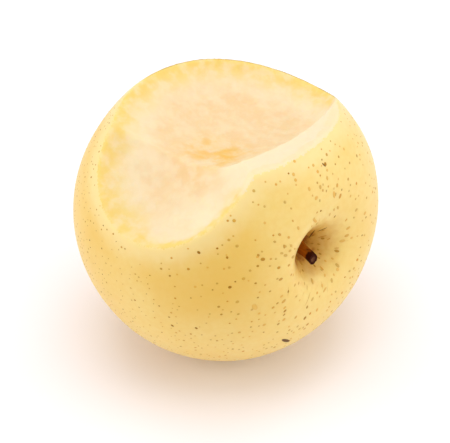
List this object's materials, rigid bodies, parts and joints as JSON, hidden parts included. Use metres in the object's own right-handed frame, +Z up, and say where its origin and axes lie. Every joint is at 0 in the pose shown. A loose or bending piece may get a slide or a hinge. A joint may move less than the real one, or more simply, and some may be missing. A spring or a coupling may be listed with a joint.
{
  "type": "bitten pear",
  "caption": "Round golden pear lying on its side, with a large bite out of its upper side and a short woody stem in a deep hollow.",
  "frame": {"origin": "middle of the flat spot that the pear rests on", "axes": "+Z up, from the surface that the pear rests on; the stem end points towards +X and -Y, rising 8 degrees"},
  "size_m": [0.0889, 0.0882, 0.0771],
  "materials": {
    "skin": "smooth waxy pear skin, with moist pale flesh in the bite",
    "stem_wood": "dry woody stem with a dark cut end"
  },
  "bodies": {
    "root": {"fruit": "skin", "stem": "stem_wood"}
  },
  "joints": []
}
